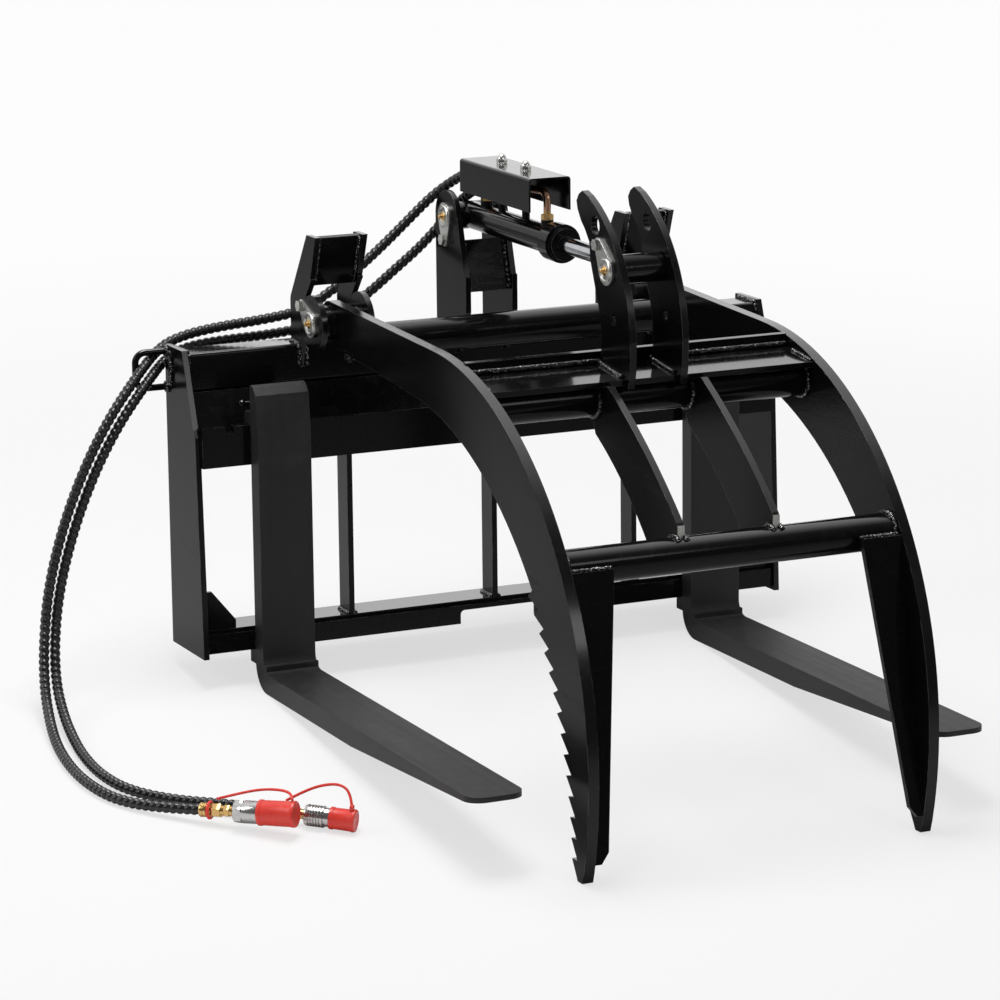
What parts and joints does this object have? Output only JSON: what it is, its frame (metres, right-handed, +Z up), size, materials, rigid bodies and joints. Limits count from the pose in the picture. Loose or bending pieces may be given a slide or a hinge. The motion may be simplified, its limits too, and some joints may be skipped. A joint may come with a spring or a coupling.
{
  "type": "pallet fork grapple",
  "caption": "Pallet fork frame for a compact loader with sliding forks and an overhead hydraulic log grapple of two saw-toothed curved arms, with hoses and couplings.",
  "frame": {"origin": "bottom centre of the rigid parts as they stand on the floor, on the fork heels and the grapple arm tips", "axes": "+Z up from the floor; -Y the way the forks point, +Y towards the loader; +X to the right seen from behind the load, across the frame"},
  "size_m": [1.5114, 1.2814, 0.9631],
  "materials": {
    "black_paint": "gloss black paint over welds, mill scale marks and bright worn edges",
    "fork_coating": "matte charcoal forged fork finish",
    "zinc_plate": "bright zinc plating",
    "fitting_brass": "yellow passivated hydraulic fitting",
    "rod_chrome": "polished hard chrome rod",
    "hose_rubber": "matte black hose in a spiral guard",
    "coupling_steel": "turned steel coupling",
    "cap_plastic": "red moulded dust cap",
    "lanyard_plastic": "red flexible lanyard"
  },
  "bodies": {
    "frame": {"arm_pin_left": "zinc_plate", "arm_pin_right": "zinc_plate", "base_end_hose": "hose_rubber", "base_pin": "zinc_plate", "bracket_webs": "black_paint", "cap_lanyards": "lanyard_plastic", "corner_gussets": "black_paint", "frame_keeper_bolts": "zinc_plate", "frame_ribs": "black_paint", "hose_guide": "black_paint", "inner_bracket_left": "black_paint", "inner_bracket_right": "black_paint", "loose_hose_inner": "hose_rubber", "loose_hose_outer": "hose_rubber", "lower_rail": "black_paint", "lower_shelf": "black_paint", "mast_plate_left": "black_paint", "mast_plate_right": "black_paint", "mast_web": "black_paint", "outer_bracket_left": "black_paint", "outer_bracket_right": "black_paint", "plug_cap": "cap_plastic", "plug_coupling": "coupling_steel", "quick_attach_foot": "black_paint", "quick_attach_lip": "black_paint", "recess_plate": "black_paint", "rod_end_hose": "hose_rubber", "side_plate_left": "black_paint", "side_plate_right": "black_paint", "socket_cap": "cap_plastic", "socket_coupling": "coupling_steel", "thrust_washers": "zinc_plate", "top_tube": "black_paint", "upper_fork_bar": "black_paint"},
    "grapple": {"clevis_keeper_bolt": "zinc_plate", "clevis_pin_ends": "zinc_plate", "clevis_plate_left": "black_paint", "clevis_plate_right": "black_paint", "cross_plate": "black_paint", "front_pipe": "black_paint", "grapple_arm_left": "black_paint", "grapple_arm_right": "black_paint", "lower_pipe": "black_paint", "rear_pipe": "black_paint", "tine_left": "black_paint", "tine_right": "black_paint", "tip_gusset_left": "black_paint", "tip_gusset_right": "black_paint"},
    "barrel": {"base_end_fitting": "fitting_brass", "cover_bolts": "zinc_plate", "cylinder_barrel": "black_paint", "cylinder_gland": "black_paint", "hose_cover": "black_paint", "rod_end_fitting": "fitting_brass"},
    "rod": {"cylinder_rod": "rod_chrome", "rod_pin_middle": "zinc_plate"},
    "fork_left": {"fork_left": "fork_coating"},
    "fork_right": {"fork_right": "fork_coating"},
    "latch_left": {"latch_left": "zinc_plate"},
    "latch_right": {"latch_right": "zinc_plate"}
  },
  "joints": [
    {"name": "grapple_hinge", "type": "hinge", "parent": "frame", "child": "grapple", "pos_m": [0.033, 0.45345, 0.63691], "axis": [-1, 0, 0], "range_deg": [-6, 50]},
    {"name": "cylinder_swing", "type": "hinge", "parent": "frame", "child": "barrel", "pos_m": [0.033, 0.56039, 0.78398], "axis": [-1, 0, 0], "range_deg": [-5.7, 47.4], "deforming": ["rod_end_hose", "base_end_hose"]},
    {"name": "rod_slide", "type": "slide", "parent": "barrel", "child": "rod", "axis": [0, -0.9947, 0.1032], "range_m": [-0.152, 0.0185]},
    {"name": "fork_left_slide", "type": "slide", "parent": "frame", "child": "fork_left", "axis": [1, 0, 0], "range_m": [-0.088, 0.055]},
    {"name": "fork_right_slide", "type": "slide", "parent": "frame", "child": "fork_right", "axis": [1, 0, 0], "range_m": [-0.055, 0.088]},
    {"name": "latch_left_drop", "type": "slide", "parent": "fork_left", "child": "latch_left", "axis": [0, -0.1107, -0.9939], "range_m": [0, 0.0105]},
    {"name": "latch_right_drop", "type": "slide", "parent": "fork_right", "child": "latch_right", "axis": [0, -0.1107, -0.9939], "range_m": [0, 0.0105]}
  ],
  "couplings": [
    {"joint": "cylinder_swing", "follows": "grapple_hinge", "ratio": 0.9461},
    {"joint": "rod_slide", "follows": "grapple_hinge", "m_per_rad": -0.17378}
  ]
}
